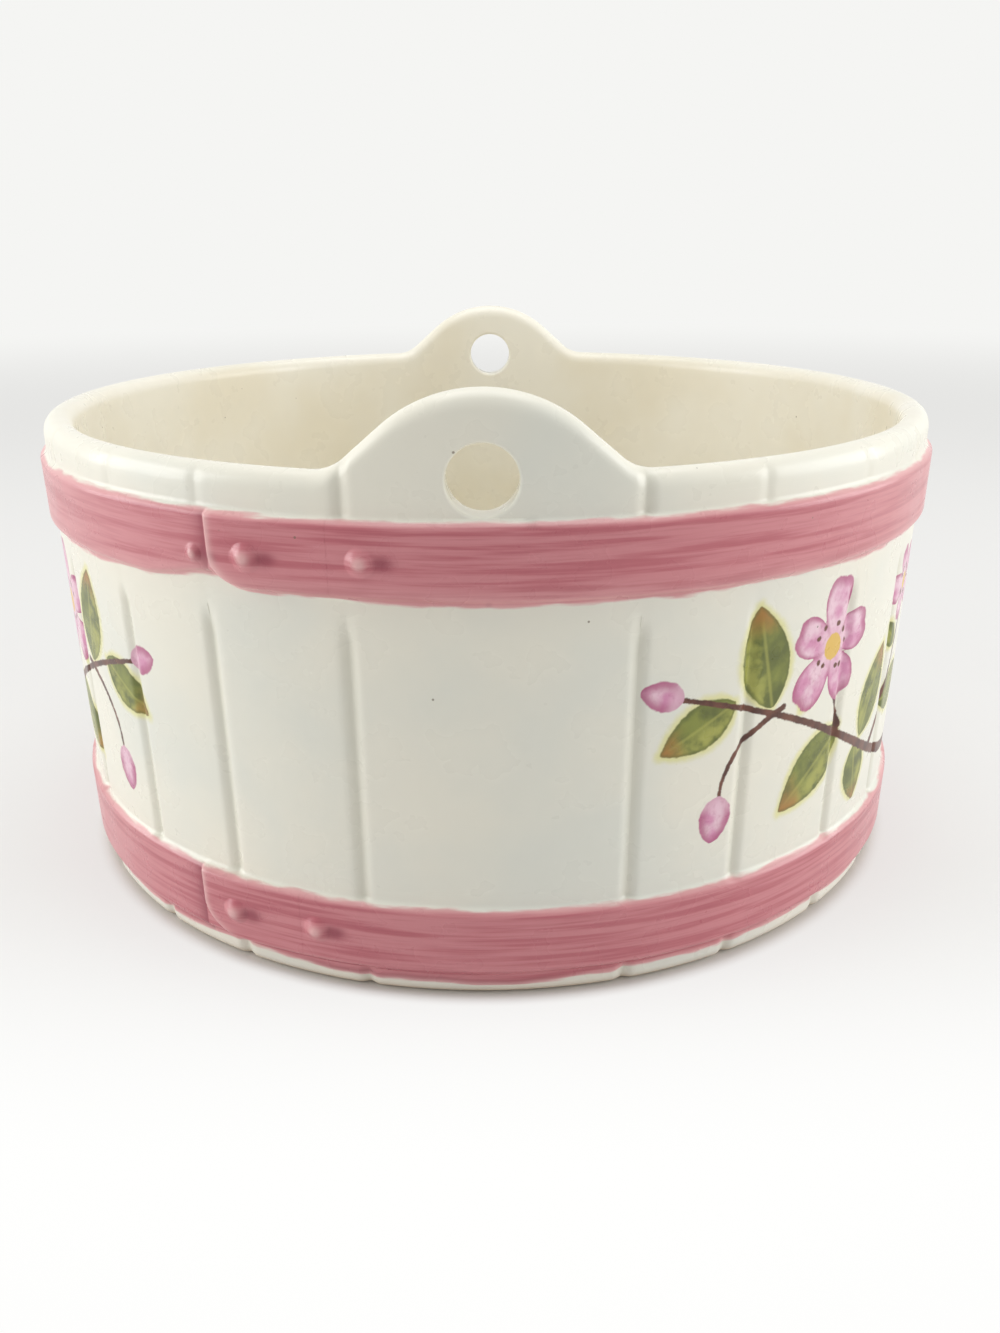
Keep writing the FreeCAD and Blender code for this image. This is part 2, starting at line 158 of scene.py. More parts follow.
# Mesh steps
FINE_TURN = math.radians(0.27)
COARSE_TURN = math.radians(0.5)
GROOVE_STEPS = 9
HEEL_STEPS = 6
RIM_STEPS = 11
FINE_ROW = 0.45
EAR_ROW = 1.2
COARSE_ROW = 3.0
HOOP_ROW = 0.4
LAP_STEP = 0.25
RIVET_RINGS = 14
RIVET_SPOKES = 36
RING_SHARES = (0.8, 0.6, 0.43, 0.29, 0.18, 0.1, 0.04, 0.0)
MOUTH_STEPS = 4
TUBE_SHARES = (0.25, 0.5, 0.75)
COVE_STEPS = 9
TURNED_COLUMNS = 360
CREASE = math.radians(50.0)


# Shapes of the wall

def smooth(share):
    share = np.clip(share, 0, 1)
    return share * share * (3 - 2 * share)


def waves(azimuth, level):
    """A slow, seamless unevenness round the pot, from -1 to 1."""
    return sum(
        share * np.sin(turns * azimuth + climb * level + phase)
        for turns, climb, phase, share in WAVES
    )


def wrapped(azimuth):
    return (azimuth + math.pi) % (2 * math.pi) - math.pi


def seam(number):
    """Azimuth of a groove, numbered to the right from the front ear's middle."""
    nearest = (number + HALF_TURN) % (2 * HALF_TURN) - HALF_TURN
    drift = SEAM_DRIFT_DEGREES * math.sin(nearest * nearest)
    return number * PITCH + math.radians(SEAM_NUDGES.get(nearest, drift))


SEAM_NUMBERS = [side * number for side in (1, -1) for number in range(1, HALF_TURN)]
SEAMS = np.array([seam(number) for number in SEAM_NUMBERS])
EAR_SEAMS = [abs(number) in (1, HALF_TURN - 1) for number in SEAM_NUMBERS]
RIM_FADES = np.where(EAR_SEAMS, EAR_SEAM_FADE, RIM_FADE)


def cone(level):
    return BASE_RADIUS + (RIM_RADIUS - BASE_RADIUS) * level / RIM_LEVEL


def slump(azimuth, level):
    return SLUMP * (1 + waves(azimuth, level)) / 2


def groove_share(azimuth, level):
    """1 at the bottom of a groove and 0 beside it, less under and over the upper hoop."""
    turns = np.abs(wrapped(azimuth[..., None] - SEAMS))
    gap = np.hypot(turns.min(-1) * cone(level), GROOVE_BOTTOM) - GROOVE_BOTTOM
    hoop = smooth(GROOVE_STUB * (1 - np.abs(level - UPPER_LOW) / GROOVE_FADE))
    over = smooth((level - UPPER_LOW - GROOVE_FADE) / (UPPER_HIGH - UPPER_LOW - GROOVE_FADE))
    fade = GROOVE_FADED_SHARE * hoop + RIM_FADES[turns.argmin(-1)] * over
    return np.clip(1 - gap / GROOVE_HALF_WIDTH, 0, 1) ** GROOVE_POWER * (1 - fade)


def outer_radius(azimuth, level, grooved=1.0):
    groove = GROOVE_DEPTH * grooved * groove_share(azimuth, level)
    return cone(level) - slump(azimuth, level) - groove


def inner_radius(azimuth, level):
    return cone(level) - WALL - slump(azimuth + INSIDE_SHIFT, level)


def crest(azimuth):
    """Level of the wall's top edge: the rim, and the bells of the ears."""
    across = np.abs(cone(RIM_LEVEL) * np.sin(azimuth))
    crown_end = CROWN * math.sin(FLANK)
    flank_top = EAR_TOP - CROWN * (1 - math.cos(FLANK))
    foot_top = RIM_LEVEL + EAR_FOOT * (1 - math.cos(FLANK))
    foot_start = crown_end + (flank_top - foot_top) / math.tan(FLANK)
    foot_end = foot_start + EAR_FOOT * math.sin(FLANK)
    crown = EAR_TOP - CROWN + np.sqrt(np.maximum(CROWN**2 - across**2, 0))
    flank = flank_top - (across - crown_end) * math.tan(FLANK)
    foot = RIM_LEVEL + EAR_FOOT - np.sqrt(np.maximum(EAR_FOOT**2 - (foot_end - across) ** 2, 0))
    zones = [across < crown_end, across < foot_start, across < foot_end]
    return np.select(zones, [crown, flank, foot], RIM_LEVEL)


def placed(radius, azimuth, level):
    """Points from cylindrical measures."""
    azimuth = azimuth + 0 * radius
    level = level + 0 * radius
    return np.stack([radius * np.sin(azimuth), -radius * np.cos(azimuth), level], axis=-1)


# Meshes

def grid_faces(columns, rows, round_columns=False, round_rows=False):
    """Corner numbers of a grid's quads, columns to the right and rows up."""
    column = np.arange(columns if round_columns else columns - 1)[:, None]
    row = np.arange(rows if round_rows else rows - 1)[None, :]
    right = (column + 1) % columns
    above = (row + 1) % rows
    corners = (column * rows + row, right * rows + row, right * rows + above, column * rows + above)
    return np.stack(corners, axis=-1)


def add_object(name, data):
    made = bpy.data.objects.new(name, data)
    bpy.context.scene.collection.objects.link(made)
    return made


def make_piece(node, points, faces, fields, material, suffix="glazed"):
    """A closed smooth mesh with vector fields for its material, in a node's place."""
    name = f"{node}_{suffix}"
    mesh = bpy.data.meshes.new(name)
    mesh.from_pydata((points.reshape(-1, 3) * MM).tolist(), [], faces)
    for title, values in fields.items():
        field = mesh.attributes.new(title, "FLOAT_VECTOR", "POINT")
        field.data.foreach_set("vector", values.astype(np.float32).ravel())
    mesh.shade_smooth()
    mesh.set_sharp_from_angle(angle=CREASE)
    mesh.materials.append(material)
    piece = add_object(name, mesh)
    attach(piece, "root")
    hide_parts(node)


def stave_columns(start, end, step):
    """Azimuths from groove to groove, closer together in the grooves themselves."""
    lip = GROOVE_HALF_WIDTH / BASE_RADIUS
    edge = lip * np.linspace(0, 1, GROOVE_STEPS)
    count = math.ceil((end - start - 2 * lip) / step) + 1
    middle = np.linspace(start + lip, end - lip, count)
    return np.concatenate([start + edge[:-1], middle, end - edge[-2::-1]])


def wall_shares(spans):
    """Shares of the wall's height for its rows, closer together in the given spans."""
    shoulder = RIM_LEVEL - RIM_ROUND
    levels = [BASE_ROUND]
    while levels[-1] < shoulder:
        steps = [step for low, high, step in spans if low <= levels[-1] < high]
        levels.append(levels[-1] + min(steps, default=COARSE_ROW))
    levels = np.array(levels) - BASE_ROUND
    return levels[1:] / levels[-1]


def wall_section(azimuths, shares):
    """Radius, level and zone of the wall's closed section at each azimuth.

    Rows run from the middle of the base up the outer face, over the crest and down
    the inner face. A zone is (inside, groove, dry), each 0 to 1.
    """
    turn = azimuths[:, None]
    shoulder = crest(turn) - RIM_ROUND
    heel = np.linspace(0, QUARTER, HEEL_STEPS)[None, :]
    lean = np.linspace(0, QUARTER, RIM_STEPS)[None, 1:]
    heel_level = BASE_ROUND * (1 - np.cos(heel)) + 0 * turn
    wall_level = BASE_ROUND + shares[None, :] * (shoulder - BASE_ROUND)
    rim_level = shoulder + RIM_ROUND * np.sin(lean) ** RIM_POWER
    level = np.concatenate([0 * turn, heel_level, wall_level, rim_level], axis=1)
    base_middle = (outer_radius(turn, 0 * turn) + inner_radius(turn, 0 * turn)) / 2
    outer_shoulder = outer_radius(turn, shoulder)
    inner_shoulder = inner_radius(turn, shoulder)
    middle = (outer_shoulder + inner_shoulder) / 2
    half = (outer_shoulder - inner_shoulder) / 2
    dry = 1 - smooth(level / BASE_ROUND)
    bend = np.cos(lean) ** RIM_POWER
    radii, zones = [], []
    for side, face in ((1, outer_radius), (-1, inner_radius)):
        inset = BASE_ROUND * (1 - np.sin(heel)) * (side > 0)
        heel_radius = face(turn, heel_level) - inset
        rim_radius = middle + side * half * bend
        wall_radius = face(turn, wall_level)
        radii.append(np.concatenate([base_middle, heel_radius, wall_radius, rim_radius], axis=1))
        inside = np.full(level.shape, float(side < 0))
        inside[:, -lean.size:] = (1 - side * np.cos(lean)) / 2
        groove = groove_share(turn, level) * (1 - inside)
        zones.append(np.stack([inside, groove, dry], axis=-1))
    outer, inner = radii
    back = slice(-2, 0, -1)
    radius = np.concatenate([outer, inner[:, back]], axis=1)
    level = np.concatenate([level, level[:, back]], axis=1)
    zone = np.concatenate([zones[0], zones[1][:, back]], axis=1)
    return radius, level, zone


def end_faces(rows, first, sign):
    """Faces that close a section's end: rungs between its outer and inner rows.

    The base is flat, so its middle and corners make a fan up to the second row.
    """
    top = rows // 2
    faces = [[0, 1, 2], [0, 2, rows - 2], [0, rows - 2, rows - 1]]
    faces += [[k, k + 1, rows - k - 1, rows - k] for k in range(2, top - 1)]
    faces.append([top - 1, top, top + 1])
    return [[first + corner for corner in face[::sign]] for face in faces]


def make_stave(node, start, end, rows, step, material, brushed=False, ear=None):
    """One stave between two grooves, as a closed solid."""
    azimuths = stave_columns(start, end, step)
    radius, level, zone = wall_section(azimuths, wall_shares(rows))
    points = placed(radius, azimuths[:, None], level)
    columns, count = radius.shape
    fields = {"zone": zone.reshape(-1, 3)}
    if brushed:
        outside = slice(0, count // 2)
        for title, values in brush_fields(azimuths[:, None], level[:, outside]).items():
            whole = np.zeros(zone.shape)
            whole[:, outside] = values
            fields[title] = whole.reshape(-1, 3)
    faces = grid_faces(columns, count, round_rows=True)
    points = points.reshape(-1, 3)
    if ear is None:
        faces = faces.reshape(-1, 4).tolist()
    else:
        across = radius * np.sin(azimuths[:, None] - ear)
        more, faces, hole_zone = holed(faces, across, level, ear)
        points = np.concatenate([points, more])
        fields["zone"] = np.concatenate([fields["zone"], hole_zone])
    faces += end_faces(count, 0, 1)
    faces += end_faces(count, (columns - 1) * count, -1)
    make_piece(node, points, faces, fields, material)


def holed(faces, across, level, ear):
    """Opens a hanging hole in a wall grid and lines it.

    A block of quads goes on both faces of the wall, and rings run from the
    block's edge to the rounded mouth, through the wall and out on the other side.
    """
    count = level.shape[1]
    first, last = np.flatnonzero(np.abs(across[:, count // 4]) < HOLE_FIELD)[[0, -1]]
    outside = level[(first + last) // 2, : count // 2]
    low, high = np.flatnonzero(np.abs(outside - HOLE_LEVEL) < HOLE_FIELD)[[0, -1]]
    keep = np.ones(faces.shape[:2], bool)
    keep[first:last, low:high] = False
    keep[first:last, count - high : count - low] = False
    corners = [(i, low) for i in range(first, last)] + [(last, j) for j in range(low, high)]
    corners += [(i, high) for i in range(last, first, -1)]
    corners += [(first, j) for j in range(high, low, -1)]
    column, row = np.array(corners).T
    inner_row = count - row
    angle = np.arctan2(level[column, row] - HOLE_LEVEL, across[column, row])

    def lifted(ring_across, ring_level, face, depth):
        radius = cone(ring_level)
        for _ in range(2):
            radius = face(ear + np.arcsin(ring_across / radius), ring_level)
        radius = radius - depth
        return radius, ear + np.arcsin(ring_across / radius), ring_level

    def circle(radius):
        return radius * np.cos(angle), HOLE_LEVEL + radius * np.sin(angle)

    def side_rings(face, rows, inward):
        """From the block's edge to the end of the rounded mouth."""
        rings = []
        edge_across, edge_level = across[column, rows], level[column, rows]
        mouth_across, mouth_level = circle(HOLE_RADIUS + MOUTH)
        for share in RING_SHARES:
            ring_across = mouth_across + (edge_across - mouth_across) * share
            ring_level = mouth_level + (edge_level - mouth_level) * share
            rings.append(lifted(ring_across, ring_level, face, 0.0))
        for roll in np.linspace(0, QUARTER, MOUTH_STEPS + 1)[1:]:
            depth = inward * MOUTH * (1 - math.cos(roll))
            ring = circle(HOLE_RADIUS + MOUTH * (1 - math.sin(roll)))
            rings.append(lifted(*ring, face, depth))
        return rings

    near = side_rings(outer_radius, row, 1)
    far = side_rings(inner_radius, inner_row, -1)[::-1]
    tube = []
    for share in TUBE_SHARES:
        radius = near[-1][0] * (1 - share) + far[0][0] * share
        ring_across, ring_level = circle(HOLE_RADIUS)
        tube.append((radius, ear + np.arcsin(ring_across / radius), ring_level))
    rings = near + tube + far
    inside = [0.0] * len(near) + list(TUBE_SHARES) + [1.0] * len(far)
    points = np.concatenate([placed(*ring) for ring in rings])
    zone = np.zeros((len(points), 3))
    zone[:, 0] = np.repeat(inside, len(angle))
    base = level.size
    numbers = [column * count + row]
    numbers += [base + k * len(angle) + np.arange(len(angle)) for k in range(len(rings))]
    numbers.append(column * count + inner_row)
    made = faces[keep].reshape(-1, 4).tolist()
    for ring, after in zip(numbers, numbers[1:]):
        strip = (ring, np.roll(ring, -1), np.roll(after, -1), after)
        made += np.stack(strip, axis=-1).tolist()
    return points, made, zone


def make_turned(node, section, inside, material, suffix):
    """A piece turned about the pot's axis from a chain of radii and levels.

    A chain that starts and ends on the axis makes a disc; any other is closed
    on itself and makes a ring.
    """
    radius, level = np.array(section, float).T
    azimuths = np.linspace(0, 2 * math.pi, TURNED_COLUMNS, endpoint=False)
    is_disc = radius[0] == 0
    chain = slice(1, -1) if is_disc else slice(None)
    turn, height = azimuths[:, None], level[chain][None, :]
    spread = np.tile(radius[chain], (len(azimuths), 1))
    hug = (spread / radius.max()) ** HUG_POWER
    spread = spread + (SLUMP - slump(turn + INSIDE_SHIFT, height)) * hug
    points = placed(spread, turn, height)
    columns, rows = points.shape[:2]
    faces = grid_faces(columns, rows, round_columns=True, round_rows=not is_disc)
    faces = faces.reshape(-1, 4).tolist()
    points = points.reshape(-1, 3)
    if is_disc:
        under, over = len(points), len(points) + 1
        points = np.concatenate([points, [(0, 0, level[0]), (0, 0, level[-1])]])
        for i in range(columns):
            after = (i + 1) % columns
            faces.append([after * rows, i * rows, under])
            faces.append([i * rows + rows - 1, after * rows + rows - 1, over])
    zone = np.zeros((len(points), 3))
    zone[:, 0] = inside * (points[:, 2] > FLOOR_TOP - CLEARANCE)
    make_piece(node, points, faces, {"zone": zone}, material, suffix)


# Hoops

@dataclass
class Hoop:
    """A painted band with its lapped end, as measures and as surfaces.

    Azimuths are given in degrees. The paint's tone is how dark it is, its spill how
    far it runs below the band, wash how thin it is low down, pale how much a painted
    sheen lightens it at the sides, and its smear has a start, an end and a drop.
    """

    name: str
    low: float
    high: float
    lap: float
    pinch: float
    corner: tuple
    rivets: tuple
    tone: float
    spill: float
    smear: tuple
    tilt: float
    wash: float
    pale: float

    def __post_init__(self):
        self.lap = math.radians(self.lap)
        self.corner_width, self.corner_height = self.corner
        self.rivets = [(math.radians(turn), level, size) for turn, level, size in self.rivets]
        self.smear = [math.radians(turn) for turn in self.smear[:2]] + [self.smear[2]]

    def run(self, azimuth):
        """How far to the right of the lap's end, along the wall."""
        return wrapped(azimuth - self.lap) * cone(self.low)

    def corner_rise(self, run):
        """How far the lap's round corner lies over the band's lower edge."""
        share = np.clip(run / self.corner_width, 0, 1)
        return self.corner_height * (1 - np.sqrt(1 - (1 - share) ** 2))

    def lower_edge(self, azimuth):
        """The under strap narrows towards the lap, whose corner comes down from there."""
        run = self.run(azimuth)
        under = self.pinch * smooth(1 + run / PINCH_LENGTH)
        rise = np.where(run < 0, under, np.minimum(self.pinch, self.corner_rise(run)))
        return self.low + rise + EDGE_WAVE * waves(azimuth, self.low) ** 2

    def upper_edge(self, azimuth):
        """A tilt raises this edge at the left and lowers it at the right."""
        return self.high - self.tilt * np.sin(azimuth) - EDGE_WAVE * waves(azimuth, self.high) ** 2

    def inside_lap(self, azimuth, level):
        """How far inside the lap's rounded end a point is, and 0 outside."""
        run = self.run(azimuth)
        rise = np.clip((self.low + self.corner_height - level) / self.corner_height, 0, 1)
        from_end = run - self.corner_width * (1 - np.sqrt(1 - rise**2))
        from_below = level - self.low - self.corner_rise(run)
        both = np.hypot(from_end, from_below) + CLEARANCE
        return np.where((from_end > 0) & (from_below > 0), from_end * from_below / both, 0)

    def rivet_gap(self, azimuth, level, rivet):
        """Distance from a rivet's middle, as for a head of full size."""
        middle, height, size = rivet
        return np.hypot(wrapped(azimuth - middle) * cone(height), level - height) / size

    def rivet_rise(self, azimuth, level, rivet):
        share = np.clip(self.rivet_gap(azimuth, level, rivet) / RIVET_REACH, 0, 1)
        return RIVET_RISE * rivet[2] * (1 - share**2) ** RIVET_POWER

    def bare_radius(self, azimuth, level):
        """The hoop's outer face with its lap, without rivet heads."""
        below = smooth((level - self.lower_edge(azimuth) + HOOP_OUTSIDE) / HOOP_SOFTNESS)
        above = smooth((self.upper_edge(azimuth) - level + HOOP_OUTSIDE) / HOOP_SOFTNESS)
        band = below * above
        run = self.run(azimuth)
        tail = smooth(1 - run / LAP_LENGTH) * (run > 0)
        lap = LAP_RELIEF * tail * smooth(self.inside_lap(azimuth, level) / LAP_SOFTNESS)
        return outer_radius(azimuth, level, 1 - band) + (HOOP_RELIEF + lap) * band

    def radius(self, azimuth, level):
        heads = sum(self.rivet_rise(azimuth, level, rivet) for rivet in self.rivets)
        return self.bare_radius(azimuth, level) + heads

    def paint_edges(self, azimuth, level):
        """The paint's lower and upper edge, and the smear, whole in its middle half."""
        start, end, drop = self.smear
        from_middle = np.abs(wrapped(azimuth - (start + end) / 2)) / ((end - start) / 2)
        smear = smooth(2 * (1 - from_middle))
        low_wave = LOW_PAINT_WAVE * (1 + waves(azimuth * LOW_WAVE_TURNS, level))
        high_wave = HIGH_PAINT_WAVE * waves(azimuth * HIGH_WAVE_TURNS, level)
        low = self.lower_edge(azimuth) - self.spill - low_wave - drop * smear
        return low, self.upper_edge(azimuth) + high_wave - HIGH_GAP, smear

    def paint(self, azimuth, level):
        """(how deep inside the paint, how dark, how thin) at each point; how dark takes in painted
        shadows beside the rivets, how thin a painted sheen at the sides and painted highlights on the
        rivet tops.
        """
        low, high, smear = self.paint_edges(azimuth, level)
        depth = np.minimum(level - low, high - level)
        smeared = smear * smooth(SMEAR_HEIGHT - np.abs(level - low - SMEAR_LEVEL))
        tone = self.tone + SMEAR_TONE * smeared
        washed = self.wash * smooth(1 - (level - low) / WASH_HEIGHT)
        thin = np.maximum(smooth(1 - depth / EDGE_THIN), washed)
        # Painted sheen: the paint is made paler round the sides of the pot, away from the front
        turn = np.abs(wrapped(azimuth))
        pale = smooth((turn - SHEEN_START) / SHEEN_TURN) * smooth((SHEEN_END - turn) / SHEEN_TURN)
        thin = thin + self.pale * pale
        inside = self.inside_lap(azimuth, level)
        line = np.exp(-(((inside - LAP_LINE) / LAP_LINE) ** 2)) * (inside > 0)
        run = self.run(azimuth)
        thin = thin + line * smooth(1 - run / LAP_LINE_LENGTH)
        pool_and_shadow = np.exp(run / POOL_LENGTH) * (run < 0) * (run > -POOL_REACH)
        tone = tone + POOL_AND_SHADOW_TONE * pool_and_shadow * (inside == 0)
        # Each rivet head gets a painted shadow to its right, and a paler top that is thin paint with a
        # painted highlight
        for rivet in self.rivets:
            aside = wrapped(azimuth - rivet[0]) * cone(level) - RIVET_SHADOW_ASIDE
            pool_and_shadow = np.exp(-((aside / RIVET_SHADOW_WIDTH) ** 2 + ((level - rivet[1]) / RIVET_SHADOW_HEIGHT) ** 2))
            gap = self.rivet_gap(azimuth, level, rivet)
            tone = tone + POOL_AND_SHADOW_TONE * pool_and_shadow * (1 - smooth(1 - gap / RIVET_REACH))
            thin = thin + RIVET_THIN_AND_HIGHLIGHT * smooth(1 - gap / RIVET_TOP)
        return np.stack([depth, tone, np.clip(thin, 0, 1)], axis=-1)


HOOPS = (
    Hoop(
        "upper_hoop",
        UPPER_LOW,
        UPPER_HIGH,
        lap=-28.2,
        pinch=2.3,
        corner=(7.5, 6.5),
        rivets=((-30.0, 82.9, 0.62), (-23.4, 83.5, 1.0), (-11.6, 84.0, 0.95)),
        tone=0.0,
        spill=0.0,
        smear=(0.0, 1.0, 0.0),
        tilt=0.0,
        wash=0.5,
        pale=0.4,
    ),
    Hoop(
        "lower_hoop",
        LOWER_LOW,
        LOWER_HIGH,
        lap=-34.6,
        pinch=0.0,
        corner=(11.0, 7.5),
        rivets=((-29.6, 12.0, 1.0), (-19.1, 12.2, 1.0)),
        tone=0.12,
        spill=1.1,
        smear=(-27.0, 13.0, 0.8),
        tilt=1.2,
        wash=0.0,
        pale=0.15,
    ),
)


def make_hoop(hoop, azimuths, material):
    """The whole band, as a ring laid on the wall and sunk a little into it."""
    turn = azimuths[:, None]
    across = np.abs(cone(hoop.high) * np.sin(turn))
    clear = smooth((across - HOLE_RADIUS - MOUTH) / HOOP_MARGIN)
    share = clear if hoop.high > HOLE_LEVEL - 2 * HOLE_RADIUS else 1.0
    top = hoop.high + HOOP_MARGIN_AT_HOLE + (HOOP_MARGIN - HOOP_MARGIN_AT_HOLE) * share
    bottom = max(hoop.low - HOOP_MARGIN - hoop.spill, BASE_ROUND + LAYER)
    rows = math.ceil((hoop.high + HOOP_MARGIN - bottom) / HOOP_ROW) + 1
    level = bottom + np.linspace(0, 1, rows)[None, :] * (top - bottom) + 0 * turn
    radius = hoop.radius(turn, level) + LAYER
    sunk = level[:, [-1, 0]]
    sunk_radius = outer_radius(turn, sunk) - SINK
    radius = np.concatenate([radius, sunk_radius], axis=1)
    level = np.concatenate([level, sunk], axis=1)
    points = placed(radius, turn, level)
    faces = grid_faces(len(azimuths), rows + 2, round_columns=True, round_rows=True)
    faces = faces.reshape(-1, 4).tolist()
    make_piece(hoop.name, points, faces, hoop_fields(hoop, turn, level), material)


def hoop_fields(hoop, turn, level, copies=1):
    groove = groove_share(turn + 0 * level, level)
    zone = np.stack([0 * level, groove, 0 * level], axis=-1)
    paint = hoop.paint(turn, level)
    return {"paint": np.stack([paint] * copies), "zone": np.stack([zone] * copies)}


def make_lap(hoop, material):
    """The lapped end: a patch over its stretch of the hoop, closed underneath."""
    reach = LAP_LENGTH + 2 * LAP_SOFTNESS
    run = np.arange(-LAP_SOFTNESS, reach, LAP_STEP)
    turn = (hoop.lap + run / cone(hoop.low))[:, None]
    levels = np.arange(hoop.low - HOOP_OUTSIDE, hoop.high + HOOP_OUTSIDE, LAP_STEP)[None, :]
    over = hoop.bare_radius(turn, levels)
    level = levels + 0 * over
    points = np.stack([placed(over + 2 * LAYER, turn, level), placed(over - SINK, turn, level)])
    columns, rows = over.shape
    top = grid_faces(columns, rows)
    under = top[..., ::-1] + columns * rows
    faces = top.reshape(-1, 4).tolist() + under.reshape(-1, 4).tolist()
    faces += rim_faces(columns, rows)
    fields = hoop_fields(hoop, turn, level, copies=2)
    make_piece(f"{hoop.name}_lap", points, faces, fields, material)


def rim_faces(columns, rows):
    """Quads that join the edges of two equal grids, one under the other."""
    edge = [i * rows for i in range(columns)]
    edge += [(columns - 1) * rows + k for k in range(1, rows)]
    edge += [i * rows + rows - 1 for i in range(columns - 2, -1, -1)]
    edge += list(range(rows - 2, 0, -1))
    below = columns * rows
    after = edge[1:] + edge[:1]
    return [[b, a, a + below, b + below] for a, b in zip(edge, after)]


def make_rivets(hoop, material):
    """The rivet heads: round patches over their places, closed underneath."""
    points, faces, turns, levels = [], [], [], []
    spoke = np.linspace(0, 2 * math.pi, RIVET_SPOKES, endpoint=False)[None, :]
    reach = RIVET_REACH * np.linspace(0, 1, RIVET_RINGS + 1)[1:, None]
    for rivet in hoop.rivets:
        azimuth, level, size = rivet
        turn = azimuth + size * reach * np.cos(spoke) / cone(level)
        ring_level = level + size * reach * np.sin(spoke)
        turn = np.concatenate([[azimuth], turn.ravel()])
        ring_level = np.concatenate([[level], ring_level.ravel()])
        radius = hoop.radius(turn, ring_level)
        rise = hoop.rivet_rise(turn, ring_level, rivet)
        faces += dome_faces(sum(len(group) for group in points), len(turn))
        points.append(placed(radius + 3 * LAYER, turn, ring_level))
        points.append(placed(radius - rise - SINK, turn, ring_level))
        turns += [turn, turn]
        levels += [ring_level, ring_level]
    fields = hoop_fields(hoop, np.concatenate(turns), np.concatenate(levels))
    points = np.concatenate(points)
    make_piece(f"{hoop.name}_rivets", points, faces, fields, material)


def dome_faces(first, count):
    """Faces of a round patch and of the one under it, joined at their edge."""
    faces = []
    for layer, sign in ((first, 1), (first + count, -1)):
        for k in range(RIVET_SPOKES):
            after = (k + 1) % RIVET_SPOKES
            faces.append([layer, layer + 1 + k, layer + 1 + after][::sign])
            for ring in range(RIVET_RINGS - 1):
                near = layer + 1 + ring * RIVET_SPOKES
                far = near + RIVET_SPOKES
                faces.append([near + k, far + k, far + after, near + after][::sign])
    edge = first + 1 + (RIVET_RINGS - 1) * RIVET_SPOKES
    for k in range(RIVET_SPOKES):
        after = (k + 1) % RIVET_SPOKES
        faces.append([edge + after, edge + k, edge + count + k, edge + count + after])
    return faces


# Brushwork: sprays of five-petal flowers, buds and oval leaves, in millimetres across
# and up from a spray's middle

SPRAY_RADIUS = 97.0
SPRAY_HALF_WIDTH = 48.0
SPRAY_LEVEL = 48.5
SPRAYS = ((44.5, 1), (-68.0, -1), (136.0, 1), (-136.0, -1))
BARE_REACH = 3.0

# Four points of each stem's curve, and its width at both ends
STEMS = (
    (((45, -23), (18, -24), (4, -2), (-41, 9)), 2.8, 1.0),
    (((20, -16), (27, -8), (33, 0), (34, 10)), 1.7, 1.0),
    (((-17, 3), (-27, 0), (-31, -6), (-31, -13)), 1.4, 0.8),
    (((2, -6), (-1, 0), (-2, 4), (-3, 8)), 1.8, 1.2),
)
# Foot, heading in degrees, length and width of each leaf
LEAVES = (
    ((11, -13), -80, 14, 9.5),
    ((2, -6), -142, 22, 11.5),
    ((26, -9), 8, 19, 10),
    ((-20, 3.5), 104, 21, 11),
    ((-29, 6.5), 208, 17, 9),
    ((13, -12), 66, 20, 10.5),
    ((-12, 1), 60, 8, 4),
    ((31, 3), 140, 9, 5),
)
# Centre, reach and turn in degrees of each flower
FLOWERS = (((-4, 12), 13.5, 12), ((34, 16), 9.5, 40))
# Foot, heading in degrees, length and width of each bud
BUDS = (((-31, -12), -97, 9.5, 7), ((-40, 8.8), 163, 8.5, 5.8))
STEM_STEPS = 40
OVAL_FOOT_POWER = 0.85
LEAF_BLUNTNESS = 0.8
BUD_BLUNTNESS = 0.55
PETALS = 5
PETAL_POWER = 0.42
PETAL_SPREAD = 1.06
PETAL_UNEVENNESS = 0.07
PETAL_PHASE = 2.4
NOTCH_SHARE = 0.07
NOTCH_WIDTH = 0.13
EYE_SHARE = 0.2
STAMENS = 9
STAMEN_SHARE = 0.36
STAMEN_RADIUS = 0.62
STAMEN_SWAY = 0.35
STAMEN_UNEVENNESS = 0.14
STAMEN_PHASES = (3, 5)


def laid(field, depth, side, run):
    """Puts a stroke over a field where it is deeper."""
    deeper = depth + BARE_REACH > field[..., 0]
    stroke = np.stack([depth + BARE_REACH, side + 0 * depth, run + 0 * depth], axis=-1)
    field[deeper] = stroke[deeper]


def lay_oval(field, across, up, shape, bluntness):
    """A leaf or bud: an oval along its heading."""
    foot, heading, length, width = shape
    turn = math.radians(heading)
    along = (across - foot[0]) * math.cos(turn) + (up - foot[1]) * math.sin(turn)
    aside = (up - foot[1]) * math.cos(turn) - (across - foot[0]) * math.sin(turn)
    run = np.clip(along / length, 0, 1)
    half = width / 2 * np.sin(math.pi * run**OVAL_FOOT_POWER) ** bluntness
    beyond = np.maximum(np.maximum(-along, along - length), 0)
    depth = np.where(beyond > 0, -np.hypot(beyond, aside), half - np.abs(aside))
    laid(field, depth, aside / (width / 2), run)


